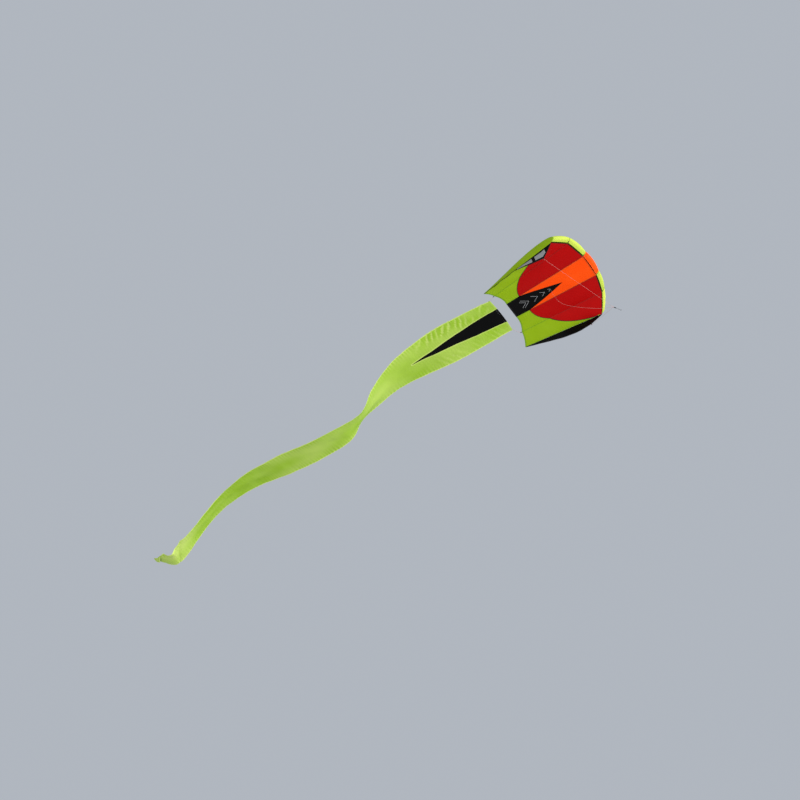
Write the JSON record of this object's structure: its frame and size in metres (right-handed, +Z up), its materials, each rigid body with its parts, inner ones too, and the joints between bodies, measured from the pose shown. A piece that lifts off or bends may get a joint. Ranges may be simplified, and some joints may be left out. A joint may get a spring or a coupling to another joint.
{
  "type": "single-line kite",
  "caption": "Sparless ram-air kite of coloured ripstop with side fins, a two-leg bridle with a swivel, and a long ribbon tail, shown flying nose-up.",
  "frame": {"origin": "middle of the lower skin, a third of the chord behind the nose, where the air carries the canopy", "axes": "+Y from the nose to the tail, +X to the right tip seen from behind and above with the nose away, +Z up in flight"},
  "size_m": [1.1694, 5.7429, 1.8235],
  "materials": {
    "lime_ripstop": "coated ripstop nylon, lime",
    "bright_ripstop": "coated ripstop nylon, bright yellow-lime",
    "orange_ripstop": "coated ripstop nylon, fluorescent orange",
    "red_ripstop": "coated ripstop nylon, red",
    "black_ripstop": "coated ripstop nylon, black",
    "grey_ripstop": "coated ripstop nylon, grey",
    "black_webbing": "woven tape, black",
    "pale_line": "braided polyester line, pale pink",
    "black_cord": "braided polyester cord, black",
    "black_steel": "blackened steel"
  },
  "bodies": {
    "canopy": {"upper_panel_1": "lime_ripstop", "upper_panel_2": "lime_ripstop", "upper_panel_3": "orange_ripstop", "upper_panel_4": "lime_ripstop", "upper_panel_5": "bright_ripstop", "lower_red_left": "red_ripstop", "lower_red_right": "red_ripstop", "lower_lime_left": "lime_ripstop", "lower_lime_right": "lime_ripstop", "lower_orange_stripe": "orange_ripstop", "lower_black_panel": "black_ripstop", "rib_1": "lime_ripstop", "rib_2": "lime_ripstop", "rib_3": "lime_ripstop", "rib_4": "lime_ripstop", "rib_5": "lime_ripstop", "rib_6": "lime_ripstop", "fin_left": "black_ripstop", "fin_right": "black_ripstop", "fin_window_front_left": "grey_ripstop", "fin_window_front_right": "grey_ripstop", "fin_window_rear_left": "grey_ripstop", "fin_window_rear_right": "grey_ripstop", "bridle_tab_left": "black_webbing", "bridle_tab_right": "black_webbing", "keel_tab": "black_webbing", "keel_line": "pale_line", "tail_tab_left": "black_webbing", "tail_tab_right": "black_webbing"},
    "bridle": {"bridle_leg_left": "pale_line", "bridle_leg_right": "pale_line", "tow_knot": "pale_line", "swivel_eye": "black_steel"},
    "swivel": {"swivel_barrel": "black_steel", "tow_leader": "black_cord", "leader_knot": "black_cord"},
    "tail_lines": {"tail_line_left": "pale_line", "tail_line_right": "pale_line"},
    "tail": {"tail_hem": "black_ripstop", "tail_wedge": "black_ripstop", "tail_ribbon": "bright_ripstop"}
  },
  "joints": [
    {"name": "bridle_swing", "type": "hinge", "parent": "canopy", "child": "bridle", "pos_m": [0, -0.01482, -0.2081], "axis": [1, 0, 0], "range_deg": [-45, 60], "deforming": ["keel_line"]},
    {"name": "tow_swivel", "type": "hinge", "parent": "bridle", "child": "swivel", "pos_m": [0, -0.475, -0.68], "axis": [0, -0.6561, -0.7547], "continuous": true},
    {"name": "tail_line_swing", "type": "hinge", "parent": "canopy", "child": "tail_lines", "pos_m": [0, 0.705, -0.14056], "axis": [1, 0, 0], "range_deg": [-60, 45]},
    {"name": "tail_swing", "type": "hinge", "parent": "tail_lines", "child": "tail", "pos_m": [0, 0.76454, -0.11096], "axis": [1, 0, 0], "range_deg": [-30, 30]}
  ]
}
